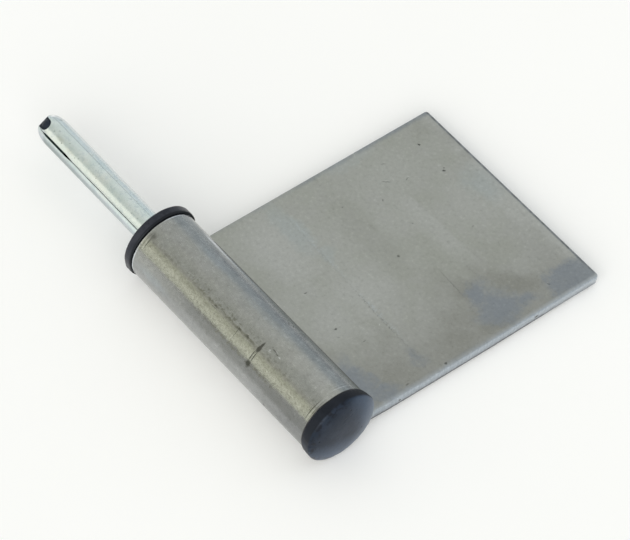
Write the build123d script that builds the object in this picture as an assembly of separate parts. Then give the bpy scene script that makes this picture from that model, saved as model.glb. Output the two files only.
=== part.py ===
from build123d import *
from math import sin, cos, radians, asin, degrees, sqrt
import os

# Male half of a weld-on lift-off hinge.
# X runs along the hinge pin, from its free nose (-X) to the closed end of the
# knuckle (+X).  The leaf spreads out along +Y and lies flat, +Z is its normal.
# The origin is on the pin axis, in the bearing face of the plastic bush on
# which the other half of the hinge turns.

# ---- sheet: leaf and rolled knuckle -----------------------------------------
sheet_t = 3.5            # sheet thickness
knuckle_r = 10.0         # outside radius of the rolled knuckle
sheet_len = 68.2         # height of the leaf and of the knuckle, along the pin
leaf_reach = 88.3        # pin axis to the far edge of the leaf
roll_gap = 0.25          # gap between the rolled end and the leaf it returns to
corner_r = 0.9           # leaf corner at the pin's side, in plan
front_corner_r = 0.75    # leaf corner at the cap's side, in plan
top_roll = 0.45          # die roll on the edges of the leaf's upper side
under_break = 0.18       # broken edge on the other side of the sheet

# ---- bush at the pin end -----------------------------------------------------
bush_flange_t = 2.8      # flange between the two knuckles
bush_flange_r = 10.45
bush_rim_round = 0.45
bush_neck_t = 0.32       # width of the groove between flange and knuckle
bush_neck_r = 9.35       # bottom of that groove
bush_mouth = 0.55        # chamfer round the pin, in the bearing face
bush_end = 36.0          # inner end of the sleeve, inside the knuckle

# ---- pin: rolled tube, swaged nose ---------------------------------------------
pin_r = 4.0
pin_wall = 1.15
pin_nose_x = -47.0       # free end
nose_len = 4.8           # length of the rounded nose
nose_r = 2.1             # radius of the flat end
nose_hole_r = 1.15       # opening at the flat end
pin_tail_x = 65.0        # hidden end, inside the cap's socket
pin_seat_r = 3.75        # reduced seat from the flange face inwards
seam_deg = 153.2         # where the rolled seam lies, from +Y towards +Z
seam_open = 0.70         # seam width in its open stretch near the nose
seam_shut = 0.20         # seam width along the rest of the pin
seam_open_x = (-43.6, -42.3, -34.0, -31.2)   # it opens, stays open, closes
notch_deg = 124.0        # direction of the notch in the nose
notch_w = 3.25
notch_x = -43.05         # bottom of the notch
notch_floor = 0.7        # height above the axis at which the notch cut starts

# ---- plug in the nose ------------------------------------------------------------
plug_end = -35.5
lug_h_tip = 1.5
lug_h_root = 3.0

# ---- end cap ------------------------------------------------------------------------
cap_rim_t = 2.65
cap_rim_r0 = 10.42       # rim radius next to the knuckle
cap_rim_r1 = 10.75       # rim radius at its front edge
cap_dome_h = 2.1         # rise of the domed face above the rim
cap_dome_p = 2.4         # fullness of the dome (2 is an ellipse)
spigot_end = 36.5
socket_x = 66.0          # bottom of the pin's socket

x0 = bush_flange_t                   # pin-side end of the sheet
x1 = x0 + sheet_len                  # cap-side end of the sheet
bore_r = knuckle_r - sheet_t

os.makedirs("parts", exist_ok=True)


def polar(r, deg):
    return (r * cos(radians(deg)), r * sin(radians(deg)))


def about_x(shape, deg):
    """Turn a shape built on +Z to the direction deg, from +Y towards +Z."""
    return Rotation(deg - 90, 0, 0) * shape


# ---- rolled leaf: one sheet, its edge rolled into the knuckle ---------------------
z_top = -knuckle_r + sheet_t
end_deg = degrees(asin((z_top + roll_gap) / knuckle_r))     # where the roll ends
mid_deg = (270 + end_deg) / 2
outer = ThreePointArc((0, -knuckle_r), polar(knuckle_r, mid_deg), polar(knuckle_r, end_deg))
inner = ThreePointArc(polar(bore_r, end_deg), polar(bore_r, mid_deg), (0, -bore_r))
section = Wire([
    outer,
    Line(polar(knuckle_r, end_deg), polar(bore_r, end_deg)),
    inner,
    Line((0, -bore_r), (leaf_reach, -bore_r)),
    Line((leaf_reach, -bore_r), (leaf_reach, -knuckle_r)),
    Line((leaf_reach, -knuckle_r), (0, -knuckle_r)),
])
profile = Plane.YZ * Face(section)
leaf = Pos(x0, 0, 0) * extrude(profile, amount=sheet_len, dir=(1, 0, 0))

# corners of the leaf in plan
far_verticals = [e for e in leaf.edges().filter_by(Axis.Z)
                 if abs(e.center().Y - leaf_reach) < 0.01]
leaf = fillet([e for e in far_verticals if e.center().X < x0 + 1], corner_r)
front_vertical = [e for e in leaf.edges().filter_by(Axis.Z)
                  if abs(e.center().Y - leaf_reach) < 0.01 and abs(e.center().X - x1) < 0.01]
leaf = fillet(front_vertical, front_corner_r)
# die roll along the upper side of the leaf; the same side of the sheet is
# the bore of the knuckle, so the roll follows it round
upper = [e for e in leaf.edges()
         if abs(e.center().Z - z_top) < 0.01
         and abs(e.bounding_box().min.Z - z_top) < 0.01
         and e.center().Y > 10
         and not (abs(e.center().X - x0) > 1 and abs(e.center().X - x1) > 1
                  and abs(e.center().Y - leaf_reach) > 1)]
leaf = fillet(upper, top_roll)
under = [e for e in leaf.edges()
         if abs(e.center().Z + knuckle_r) < 0.01
         and abs(e.bounding_box().max.Z + knuckle_r) < 0.01
         and e.center().Y > 10]
leaf = fillet(under, under_break)

# ---- flanged bush -------------------------------------------------------------------
bush_pts = [
    (bush_mouth, pin_seat_r), (0, pin_seat_r + bush_mouth), (0, bush_flange_r),
    (bush_flange_t - bush_neck_t, bush_flange_r), (bush_flange_t - bush_neck_t, bush_neck_r),
    (bush_flange_t, bush_neck_r), (bush_flange_t, bore_r),
    (bush_end - 0.8, bore_r), (bush_end, bore_r - 0.5), (bush_end, pin_seat_r),
]
bush = revolve(Plane.XZ * make_face(Polyline(*bush_pts, close=True)), Axis.X, 360)
rim = [e for e in bush.edges().filter_by(GeomType.CIRCLE)
       if abs(e.center().X) < 0.01 and e.radius > bush_flange_r - 0.1]
bush = fillet(rim, bush_rim_round)

# ---- hinge pin -----------------------------------------------------------------------
tube_r = pin_r - pin_wall
seat_tube_r = pin_seat_r - pin_wall
shoulder_x = pin_nose_x + nose_len
inner_x = shoulder_x - 0.6
pin_edge = Wire([
    Line((pin_nose_x, nose_hole_r), (pin_nose_x, nose_r)),
    EllipticalCenterArc((shoulder_x, nose_r), nose_len, pin_r - nose_r, 90, arc_size=90),
    Line((shoulder_x, pin_r), (0, pin_r)),
    Line((0, pin_r), (0, pin_seat_r)),
    Line((0, pin_seat_r), (pin_tail_x - 0.5, pin_seat_r)),
    Line((pin_tail_x - 0.5, pin_seat_r), (pin_tail_x, pin_seat_r - 0.4)),
    Line((pin_tail_x, pin_seat_r - 0.4), (pin_tail_x, seat_tube_r)),
    Line((pin_tail_x, seat_tube_r), (0.5, seat_tube_r)),
    Line((0.5, seat_tube_r), (-0.5, tube_r)),
    Line((-0.5, tube_r), (inner_x, tube_r)),
    EllipticalCenterArc((inner_x, nose_hole_r), inner_x - pin_nose_x, tube_r - nose_hole_r, 90, arc_size=90),
])
pin = revolve(Plane.XZ * Face(pin_edge), Axis.X, 360)

# the seam of the rolled tube: open for a stretch near the nose, nearly shut
# along the rest
a, b, c, e = seam_open_x
half = [(pin_nose_x - 1, seam_shut / 2), (a, seam_shut / 2), (b, seam_open / 2),
        (c, seam_open / 2), (e, seam_shut / 2), (pin_tail_x + 1, seam_shut / 2)]
seam = make_face(Polyline(*half, *[(x, -w) for x, w in reversed(half)], close=True))
seam_cut = extrude(Pos(0, 0, 0.4) * seam, amount=pin_r + 1, dir=(0, 0, 1))
pin = pin - about_x(seam_cut, seam_deg)

# the notch in the nose
notch_c = notch_x - notch_w / 2
notch = make_face(Polyline(
    (pin_nose_x - 1, -notch_w / 2), (notch_c, -notch_w / 2),
    (notch_c, notch_w / 2), (pin_nose_x - 1, notch_w / 2), close=True))
notch = notch + Pos(notch_c, 0) * Circle(notch_w / 2)
notch_cut = extrude(Pos(0, 0, notch_floor) * notch, amount=pin_r + 1, dir=(0, 0, 1))
pin = pin - about_x(notch_cut, notch_deg)

# ---- plug in the nose ----------------------------------------------------------------
plug_edge = Wire([
    Line((pin_nose_x, 0), (pin_nose_x, nose_hole_r)),
    EllipticalCenterArc((inner_x, nose_hole_r), inner_x - pin_nose_x, tube_r - nose_hole_r, 90, arc_size=90),
    Line((inner_x, tube_r), (plug_end - 0.8, tube_r)),
    Line((plug_end - 0.8, tube_r), (plug_end, tube_r - 0.6)),
    Line((plug_end, tube_r - 0.6), (plug_end, 0)),
    Line((plug_end, 0), (pin_nose_x, 0)),
])
plug = revolve(Plane.XZ * Face(plug_edge), Axis.X, 360)
lug_side = Plane.XZ * make_face(Polyline(
    (pin_nose_x, notch_floor), (pin_nose_x, lug_h_tip),
    (notch_x, lug_h_root), (notch_x, notch_floor), close=True))
lug = Pos(0, notch_w / 2, 0) * extrude(lug_side, amount=notch_w, dir=(0, -1, 0))
lug_plan = extrude(notch, amount=pin_r + 1, dir=(0, 0, 1))
plug = plug + about_x(lug & lug_plan, notch_deg)

# ---- end cap ------------------------------------------------------------------------------
rim_x = x1 + cap_rim_t
apex_x = rim_x + cap_dome_h
dome_pts = [(rim_x + cap_dome_h * cos(radians(q)),
             cap_rim_r1 * sin(radians(q)) ** (2 / cap_dome_p))
            for q in (90, 78, 66, 54, 42, 30, 18, 8)] + [(apex_x, 0)]
cap_edge = Wire([
    Line((x1, bore_r), (x1, cap_rim_r0)),
    Line((x1, cap_rim_r0), (rim_x, cap_rim_r1)),
    Spline(*dome_pts, tangents=((1, 0), (0, -1))),
    Line((apex_x, 0), (socket_x, 0)),
    Line((socket_x, 0), (socket_x, pin_seat_r)),
    Line((socket_x, pin_seat_r), (spigot_end, pin_seat_r)),
    Line((spigot_end, pin_seat_r), (spigot_end, bore_r - 0.5)),
    Line((spigot_end, bore_r - 0.5), (spigot_end + 0.8, bore_r)),
    Line((spigot_end + 0.8, bore_r), (x1, bore_r)),
])
cap = revolve(Plane.XZ * Face(cap_edge), Axis.X, 360)

nodes = {
    "rolled_leaf": leaf,
    "hinge_pin": pin,
    "nose_plug": plug,
    "flanged_bush": bush,
    "end_cap": cap,
}
for name, shape in nodes.items():
    solids = shape.solids()
    print(name, "solids", len(solids), "volume mm3", round(sum(s.volume for s in solids), 1),
          "valid", all(s.is_valid if isinstance(s.is_valid, bool) else s.is_valid() for s in solids))
    export_step(Compound(children=list(solids)) if len(solids) > 1 else solids[0],
                os.path.join("parts", name + ".step"))
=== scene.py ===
import bpy, bmesh, math
from mathutils import Vector, Matrix, noise


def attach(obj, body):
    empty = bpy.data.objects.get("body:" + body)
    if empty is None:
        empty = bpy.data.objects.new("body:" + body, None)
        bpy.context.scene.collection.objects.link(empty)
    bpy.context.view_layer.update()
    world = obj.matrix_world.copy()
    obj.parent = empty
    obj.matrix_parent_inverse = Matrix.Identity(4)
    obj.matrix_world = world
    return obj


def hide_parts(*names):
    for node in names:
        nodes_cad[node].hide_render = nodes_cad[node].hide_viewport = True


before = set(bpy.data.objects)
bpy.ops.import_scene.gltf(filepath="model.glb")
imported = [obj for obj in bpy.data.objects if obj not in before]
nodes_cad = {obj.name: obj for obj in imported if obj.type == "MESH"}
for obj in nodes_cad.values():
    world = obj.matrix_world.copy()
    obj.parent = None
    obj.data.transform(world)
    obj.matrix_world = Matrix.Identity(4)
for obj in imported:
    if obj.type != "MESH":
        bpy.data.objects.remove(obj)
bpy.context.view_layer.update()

scene = bpy.context.scene
scene.view_settings.view_transform = "Standard"
scene.view_settings.look = "None"
ROOT = "root"

# main sizes of the part, mm
X0, X1 = 2.8, 71.0            # ends of the rolled sheet
REACH = 88.3                  # pin axis to the far edge of the leaf
R_OUT, R_IN = 10.0, 6.5
TH = 3.5
END_DEG = -38.6822            # where the rolled end of the sheet stops


# ---------------------------------------------------------------- node helpers
class NT:
    """Small helper to write node trees."""

    def __init__(self, tree):
        self.t = tree
        self.x = 0

    def n(self, kind, **props):
        node = self.t.nodes.new(kind)
        node.location = (self.x, 0)
        self.x += 40
        for k, v in props.items():
            setattr(node, k, v)
        return node

    def link(self, a, b):
        self.t.links.new(a, b)

    def put(self, sock, v):
        if isinstance(v, (int, float)):
            sock.default_value = v
        elif isinstance(v, (tuple, list)):
            sock.default_value = tuple(v) if len(v) == len(sock.default_value) else tuple(v) + (1.0,)
        else:
            self.link(v, sock)

    def math(self, op, a, b=0.0, c=0.0, clamp=False):
        m = self.n("ShaderNodeMath", operation=op, use_clamp=clamp)
        self.put(m.inputs[0], a)
        self.put(m.inputs[1], b)
        self.put(m.inputs[2], c)
        return m.outputs[0]

    def add(self, a, b): return self.math("ADD", a, b)
    def sub(self, a, b): return self.math("SUBTRACT", a, b)
    def mul(self, a, b): return self.math("MULTIPLY", a, b)
    def madd(self, a, b, c): return self.math("MULTIPLY_ADD", a, b, c)
    def max(self, a, b): return self.math("MAXIMUM", a, b)
    def inv(self, a): return self.math("SUBTRACT", 1.0, a)

    def ramp(self, v, lo, hi, out_lo=0.0, out_hi=1.0, smooth=True):
        m = self.n("ShaderNodeMapRange", interpolation_type="SMOOTHSTEP" if smooth else "LINEAR")
        m.clamp = True
        self.put(m.inputs["Value"], v)
        self.put(m.inputs["From Min"], lo)
        self.put(m.inputs["From Max"], hi)
        self.put(m.inputs["To Min"], out_lo)
        self.put(m.inputs["To Max"], out_hi)
        return m.outputs["Result"]

    def band(self, v, a, b, c, d):
        """0 below a, 1 from b to c, 0 above d."""
        return self.mul(self.ramp(v, a, b), self.ramp(v, c, d, 1.0, 0.0))

    def mix(self, fac, a, b, blend="MIX"):
        m = self.n("ShaderNodeMix", data_type="RGBA", blend_type=blend)
        m.clamp_factor = True
        self.put(m.inputs[0], fac)
        self.put(m.inputs[6], a)
        self.put(m.inputs[7], b)
        return m.outputs[2]

    def noise(self, vec, scale, detail=2.0, rough=0.5, dist=0.0, lac=2.0, color=False):
        m = self.n("ShaderNodeTexNoise")
        self.link(vec, m.inputs["Vector"])
        m.inputs["Scale"].default_value = scale
        m.inputs["Detail"].default_value = detail
        m.inputs["Roughness"].default_value = rough
        m.inputs["Lacunarity"].default_value = lac
        m.inputs["Distortion"].default_value = dist
        if not color:
            return m.outputs[0]
        s = self.n("ShaderNodeSeparateColor")
        self.link(m.outputs[1], s.inputs[0])
        return self.vec(s.outputs[0], s.outputs[1], s.outputs[2])

    def voronoi(self, vec, scale, feature="F1", rand=1.0):
        m = self.n("ShaderNodeTexVoronoi", feature=feature)
        self.link(vec, m.inputs["Vector"])
        m.inputs["Scale"].default_value = scale
        m.inputs["Randomness"].default_value = rand
        return m.outputs["Distance"]

    def vec(self, x, y, z=0.0):
        m = self.n("ShaderNodeCombineXYZ")
        self.put(m.inputs[0], x)
        self.put(m.inputs[1], y)
        self.put(m.inputs[2], z)
        return m.outputs[0]

    def vmath(self, op, a, b=None, scale=None):
        m = self.n("ShaderNodeVectorMath", operation=op)
        self.link(a, m.inputs[0])
        if b is not None:
            if isinstance(b, tuple):
                m.inputs[1].default_value = b
            else:
                self.link(b, m.inputs[1])
        if scale is not None:
            m.inputs["Scale"].default_value = scale
        return m.outputs["Value"] if op in ("LENGTH", "DOT_PRODUCT", "DISTANCE") else m.outputs["Vector"]

    def xyz(self, v):
        m = self.n("ShaderNodeSeparateXYZ")
        self.link(v, m.inputs[0])
        return m.outputs[0], m.outputs[1], m.outputs[2]

    def bump(self, height, dist, strength=1.0, normal=None):
        m = self.n("ShaderNodeBump")
        m.inputs["Strength"].default_value = strength
        m.inputs["Distance"].default_value = dist
        self.link(height, m.inputs["Height"])
        if normal is not None:
            self.link(normal, m.inputs["Normal"])
        return m.outputs[0]

    def spot(self, vec, cx, cy, rx, ry, rot=0.0, lo=0.55, hi=1.0, amount=1.0):
        """Soft ellipse in the plane of the first two coordinates: amount inside, 0 outside."""
        if rot == 0.0:
            q = self.n("ShaderNodeVectorMath", operation="MULTIPLY_ADD")
            self.link(vec, q.inputs[0])
            q.inputs[1].default_value = (1.0 / rx, 1.0 / ry, 0.0)
            q.inputs[2].default_value = (-cx / rx, -cy / ry, 0.0)
            r = self.vmath("LENGTH", q.outputs[0])
        else:
            c, s = math.cos(math.radians(rot)), math.sin(math.radians(rot))
            d = self.vmath("SUBTRACT", vec, (cx, cy, 0.0))
            a = self.vmath("DOT_PRODUCT", d, (c / rx, s / rx, 0.0))
            b = self.vmath("DOT_PRODUCT", d, (-s / ry, c / ry, 0.0))
            r = self.math("SQRT", self.madd(a, a, self.mul(b, b)))
        return self.ramp(r, lo, hi, amount, 0.0)

    def stroke(self, vec, xa, ya, xb, yb, w, **k):
        """Tapered stroke from one point to another, w is its half width."""
        dx, dy = xb - xa, yb - ya
        return self.spot(vec, (xa + xb) / 2, (ya + yb) / 2, math.hypot(dx, dy) / 2 + w, w,
                         math.degrees(math.atan2(dy, dx)), **k)

    def gather(self, items):
        """Largest of many masks; each one is made when its turn comes."""
        out = items[0]()
        for i in items[1:]:
            out = self.max(out, i())
        return out


def new_material(name):
    m = bpy.data.materials.new(name)
    m.use_nodes = True
    t = m.node_tree
    t.nodes.clear()
    nt = NT(t)
    out = nt.n("ShaderNodeOutputMaterial")
    bsdf = nt.n("ShaderNodeBsdfPrincipled")
    nt.link(bsdf.outputs[0], out.inputs[0])
    co = nt.n("ShaderNodeTexCoord").outputs["Object"]
    P = nt.vmath("SCALE", co, scale=1000.0)
    return m, nt, bsdf, P                      # coordinates in millimetres


# ---------------------------------------------------------------- camera
RIGHT = Vector((0.629489, 0.773194, 0.076906))
UP = Vector((-0.631153, 0.451084, 0.631006))
BACK = RIGHT.cross(UP).normalized()
UP = BACK.cross(RIGHT).normalized()
RIGHT.normalize()
cam_data = bpy.data.cameras.new("camera")
cam_data.sensor_width = 36.0
cam_data.sensor_fit = "HORIZONTAL"
cam_data.lens = 238.586
cam_data.clip_start = 0.05
cam_data.clip_end = 30.0
cam = bpy.data.objects.new("camera", cam_data)
scene.collection.objects.link(cam)
mw = Matrix((RIGHT, UP, BACK)).transposed().to_4x4()
mw.translation = Vector((0.508832, -0.443224, 0.813026))
cam.matrix_world = mw
scene.camera = cam

# ---------------------------------------------------------------- floor
bm = bmesh.new()
bmesh.ops.create_grid(bm, x_segments=8, y_segments=8, size=4.0)
me = bpy.data.meshes.new("floor")
bm.to_mesh(me)
bm.free()
floor = bpy.data.objects.new("floor", me)
scene.collection.objects.link(floor)
floor.location = (0, 0, -0.01076)
fm, fn, fb, fP = new_material("floor_paper")
fn.link(fn.mix(fn.noise(fP, 0.02, 2, 0.5), (0.885, 0.885, 0.88), (0.90, 0.90, 0.90)), fb.inputs["Base Color"])
fb.inputs["Roughness"].default_value = 0.95
fb.inputs["Specular IOR Level"].default_value = 0.05
fb.inputs["Emission Color"].default_value = (1.0, 1.0, 1.0, 1.0)
fb.inputs["Emission Strength"].default_value = 0.09
floor.data.materials.append(fm)

# ---------------------------------------------------------------- studio light
# long soft boxes that run parallel to the pin, seen as bands in the round parts
world = bpy.data.worlds.new("studio")
scene.world = world
world.use_nodes = True
world.node_tree.nodes.clear()
w = NT(world.node_tree)
wout = w.n("ShaderNodeOutputWorld")
bg = w.n("ShaderNodeBackground")
w.link(bg.outputs[0], wout.inputs[0])
gx, gy, gz = w.xyz(w.n("ShaderNodeTexCoord").outputs["Generated"])
turn = w.math("ARCTAN2", gz, gy)               # 0 at +Y, pi/2 overhead, pi at -Y
turn = w.mul(turn, 180.0 / math.pi)
SKY = [
    (-180, (0.50, 0.50, 0.47)), (-90, (0.60, 0.60, 0.60)), (0, (0.645, 0.680, 0.710)),
    (36, (0.655, 0.690, 0.715)), (44, (0.705, 0.730, 0.730)), (62, (0.735, 0.75, 0.73)),
    (80, (0.72, 0.73, 0.71)), (108, (0.63, 0.64, 0.60)), (133, (0.60, 0.61, 0.57)),
    (140, (1.00, 0.97, 0.88)), (171, (1.00, 0.97, 0.88)), (176, (0.52, 0.52, 0.49)),
    (180, (0.50, 0.50, 0.47)),
]
rampn = w.n("ShaderNodeValToRGB")
cr = rampn.color_ramp
cr.interpolation = "LINEAR"
for i, (deg, c) in enumerate(SKY):
    pos = (deg + 180.0) / 360.0
    el = cr.elements[i] if i < 2 else cr.elements.new(pos)
    el.position = pos
    el.color = (*c, 1.0)
w.link(w.madd(turn, 1 / 360.0, 0.5), rampn.inputs[0])
toward = w.madd(gx, 0.60, w.madd(gy, -0.72, w.mul(gz, 0.35)))   # large fill light beside the camera
fill = w.ramp(toward, 0.70, 0.93, 0.0, 2.15)
lit = w.n("ShaderNodeVectorMath", operation="ADD")
w.link(rampn.outputs[0], lit.inputs[0])
w.link(w.vec(fill, fill, fill), lit.inputs[1])
w.link(lit.outputs[0], bg.inputs[0])
bg.inputs[1].default_value = 1.0


# ---------------------------------------------------------------- rolled sheet
# one sheet, 3.5 thick: flat leaf, then rolled round the pin's axis; its rim
# has the die roll, smooth shear band and torn band of a sheared edge
UNDER, CORNER, CORNER_CAP = 0.10, 0.9, 0.75
NICKS = [(25.6, 0.14, 0.8), (37.8, 0.26, 0.7), (20.7, 0.20, 0.6), (66.4, 0.22, 0.6), (51.5, 0.12, 0.5)]


def fall(e, wide, deep):
    """How far a rounded edge has fallen away at distance e from the rim."""
    return deep * (1.0 - math.sqrt(max(0.0, 1.0 - ((wide - e) / wide) ** 2))) if e < wide else 0.0


def roll(out):
    """Width and depth of the die roll; it is larger along the cap's side."""
    k = max(0.0, out[0]) ** 2
    return 0.32 + 0.90 * k, 0.30 + 0.55 * k


def plan(x, d_far, d_end):
    """Distance to the rim of the flat sheet, and the outward direction (in x, along)."""
    if d_far < CORNER and x < X0 + CORNER:
        v = (X0 + CORNER - x, CORNER - d_far)
        n = math.hypot(*v)
        return CORNER - n, (-v[0] / max(n, 1e-9), v[1] / max(n, 1e-9))
    if d_far < CORNER_CAP and x > X1 - CORNER_CAP:
        v = (x - X1 + CORNER_CAP, CORNER_CAP - d_far)
        n = math.hypot(*v)
        return CORNER_CAP - n, (v[0] / max(n, 1e-9), v[1] / max(n, 1e-9))
    e = min(x - X0, X1 - x, d_far, d_end)
    if e == d_far:
        return e, (0.0, 1.0)
    if e == d_end:
        return e, (0.0, -1.0)
    return e, ((-1.0, 0.0) if e == x - X0 else (1.0, 0.0))


def fbm(x, y, z, octaves=3):
    v, a, f = 0.0, 1.0, 1.0
    for _ in range(octaves):
        v += a * noise.noise(Vector((x * f, y * f, z * f)))
        a *= 0.5
        f *= 2.0
    return v


def slant(deg):
    """How far the cap's end of the roll stands out, mm, at the angle deg."""
    q = min(1.0, max(0.0, (126.0 - deg) / 24.0))
    return 0.24 * q * q * (3 - 2 * q) + 0.10 * min(1.0, max(0.0, (100.0 - deg) / 45.0))


def sheet_mesh():
    rim = [0, .02, .06, .13, .22, .33, .46, .7, 1.0, 1.3, 1.6, 1.9, 2.2, 2.6]
    stations = []                               # (kind, value, distance to far edge, distance to rolled end)
    arc = math.radians(270 - END_DEG) * 8.25
    flat = [0, .02, .06, .13, .22, .33, .46, .62, .8, .95, 1.3, 1.9, 2.7]
    d = 3.7
    while d < REACH - 0.4:
        flat.append(d)
        d += 1.0
    for yc, _, wd in NICKS:
        flat += [REACH - yc + k * wd for k in (-1.6, -1.0, -0.5, 0, 0.5, 1.0, 1.6)]
    flat = sorted(set(round(v, 3) for v in flat))
    flat = [v for i, v in enumerate(flat) if i == 0 or v - flat[i - 1] > 0.015]
    for d in flat:
        stations.append(("flat", REACH - d, d, REACH - d + arc))
    n = 182
    ends = [0, .02, .06, .12, .2, .3, .5]
    for i in range(n):
        a = 270 - (270 - END_DEG) * i / n
        back = math.radians(a - END_DEG) * 8.25
        if back > 0.55:
            stations.append(("roll", a, 99.0, back))
    for e in reversed(ends):
        stations.append(("roll", END_DEG + math.degrees(e / 8.25), 99.0, e))

    def xs(lo, hi):
        inner = 64
        a = [lo + v for v in rim]
        b = [hi - v for v in reversed(rim)]
        mid = [a[-1] + (b[0] - a[-1]) * (i + 1) / (inner + 1) for i in range(inner)]
        return a + mid + b

    K = 8
    verts, rings = [], []

    def place(kind, val, x, h, along=0.0):
        if kind == "flat":
            return (x, val + along, -R_IN + h)
        r = R_IN - h
        a = math.radians(val) + along / 8.25
        return (x, r * math.cos(a), r * math.sin(a))

    def torn(h, x, s):
        t = (-1.55 - h) / 1.75
        if t <= 0:
            return 0.0
        t = min(t, 1.0)
        return 0.035 * t * t * (3 - 2 * t) + 0.022 * t * (1 + fbm(x * 1.1, s * 1.1, h * 2.0, 2))

    def vert(kind, val, df, de, x, h, e, out):
        s = val if kind == "flat" else math.radians(val) * 8.25 - 60
        if e < 1.2:
            k = torn(h, x, s) * (1 - e / 1.2) ** 2
            along = -out[1] * k
            if kind == "flat" and out[0] > 0 and val > 48:
                q = min(1.0, (val - 48) / 38.0)
                k += out[0] * 0.36 * q * q * (3 - 2 * q) * min(1.0, max(0.0, (-0.9 - h) / 2.4)) * (1 - e / 1.2) ** 2
            x -= out[0] * k
        else:
            along = 0.0
        verts.append(place(kind, val, x, h, along))
        return len(verts) - 1

    for kind, val, df, de in stations:
        cut = [q - math.sqrt(max(0.0, q * q - (q - df) ** 2)) if df < q else 0.0 for q in (CORNER, CORNER_CAP)]
        lo, hi = X0 + cut[0], X1 - cut[1]
        lean = run = 0.0                                   # the sheared sides are not quite square
        if kind == "flat" and val > 4:
            q = min(1.0, (val - 4) / 7.0)
            lean = 0.36 * q * q * (3 - 2 * q) * (1 - val / 96.0)
        if kind == "flat" and val > 11.6:
            q = min(1.0, (val - 11.6) / 8.0)
            run = q * q * (3 - 2 * q) * (0.14 + 0.34 * val / 88.0)
        out_roll = slant(val) if kind == "roll" else 0.0
        s = val if kind == "flat" else math.radians(val) * 8.25 - 60
        X = xs(lo, hi)
        loop = []
        for x in X:                                        # leaf's upper side and bore
            e, out = plan(x, df, de)
            h = -fall(max(e, 0.0), *roll(out))
            h -= 0.010 * (1 + fbm(x * 0.055, s * 0.055, 3.1)) * min(1.0, e / 3.0 + 0.1)
            if kind == "flat":
                for yc, dep, wd in NICKS:
                    q = math.exp(-((val - yc) / wd) ** 2 - (max(X1 - x, 0) / 0.45) ** 2)
                    h -= dep * q
            loop.append(vert(kind, val, df, de, x, h, max(e, 0.0), out))
        h1 = -TH + UNDER
        for k in range(1, K + 1):                          # rim at the cap's end
            out = plan(hi, df, de)[1]
            h0 = -roll(out)[1]
            h = h0 + (h1 - h0) * k / (K + 1)
            loop.append(vert(kind, val, df, de, hi, h, 0.0, out))
        for x in reversed(X):                              # underside and outside of the knuckle
            e, out = plan(x, df, de)
            h = -TH + fall(max(e, 0.0), UNDER, UNDER)
            fade = min(1.0, e / 2.5 + 0.05)
            if kind == "roll":
                wob = 0.016 * (1 + fbm(x * 0.07, s * 0.20, 7.7)) + 0.005 * (1 + fbm(x * 0.28, s * 0.45, 1.3, 2))
            else:
                wob = 0.010 * (1 + fbm(x * 0.05, s * 0.05, 5.5))
            h += wob * fade
            loop.append(vert(kind, val, df, de, x, h, max(e, 0.0), out))
        for k in range(K, 0, -1):                          # rim at the pin's end
            out = plan(lo, df, de)[1]
            h0 = -roll(out)[1]
            h = h0 + (h1 - h0) * k / (K + 1)
            loop.append(vert(kind, val, df, de, lo, h, 0.0, out))
        for i in loop:                                     # lean of the pin side
            x, y, z = verts[i]
            verts[i] = (x + lean * max(0.0, 1 - (x - X0) / 12.0) + run * max(0.0, 1 - (X1 - x) / 20.0)
                        + out_roll * max(0.0, 1 - (X1 - x) / 5.0), y, z)
        rings.append(loop)
    N = len(xs(0, 60))
    faces = []
    for a, b in zip(rings, rings[1:]):
        m = len(a)
        for i in range(m):
            j = (i + 1) % m
            faces.append((a[i], a[j], b[j], b[i]))
    for ring, st, flip in ((rings[0], stations[0], False), (rings[-1], stations[-1], True)):
        kind, val, df, de = st
        top = ring[:N]
        right = ring[N:N + K]
        bottom = list(reversed(ring[N + K:2 * N + K]))
        left = list(reversed(ring[2 * N + K:]))
        rows = [top]
        tr = roll((0.0, 1.0))[1]
        for k in range(1, K + 1):
            h = -tr + (-TH + UNDER + tr) * k / (K + 1)
            row = [left[k - 1]]
            for i in range(1, N - 1):
                x = verts[top[i]][0] * 1.0
                out = (0.0, 1.0) if kind == "flat" else (0.0, -1.0)
                row.append(vert(kind, val, df, de, x, h, 0.0, out))
            row.append(right[k - 1])
            rows.append(row)
        rows.append(bottom)
        for a, b in zip(rows, rows[1:]):
            for i in range(N - 1):
                q = (a[i], b[i], b[i + 1], a[i + 1])
                faces.append(tuple(reversed(q)) if flip else q)
    me = bpy.data.meshes.new("sheet")
    me.from_pydata([(x / 1000, y / 1000, z / 1000) for x, y, z in verts], [], faces)
    me.validate()
    b = bmesh.new()
    b.from_mesh(me)
    bmesh.ops.remove_doubles(b, verts=b.verts, dist=1e-7)
    bmesh.ops.recalc_face_normals(b, faces=b.faces)
    b.to_mesh(me)
    b.free()
    me.shade_smooth()
    return me


sheet = bpy.data.objects.new("rolled_sheet", sheet_mesh())
scene.collection.objects.link(sheet)
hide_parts("rolled_leaf")
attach(sheet, ROOT)


# ---------------------------------------------------------------- turned parts
# pin, flange and cap sit a few tenths off the middle of the roll, towards LEAN
LEAN = (0.87, 0.49)


def off_axis(x):
    """Distance of the pin's middle line from the axis, mm, at x."""
    return 0.29 - 0.0033 * x if x < 0 else 0.29 * max(0.0, 1 - x / 64.5)


def moved(x, y, z, d):
    return (x, y + LEAN[0] * d, z + LEAN[1] * d)


def sharpen(me, deg):
    """Smooth faces, with the edges steeper than deg kept sharp."""
    b = bmesh.new()
    b.from_mesh(me)
    bmesh.ops.remove_doubles(b, verts=b.verts, dist=1e-7)
    bmesh.ops.recalc_face_normals(b, faces=b.faces)
    for f in b.faces:
        f.smooth = True
    for e in b.edges:
        e.smooth = not (len(e.link_faces) == 2 and e.calc_face_angle(0.0) > math.radians(deg))
    b.to_mesh(me)
    b.free()


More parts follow.
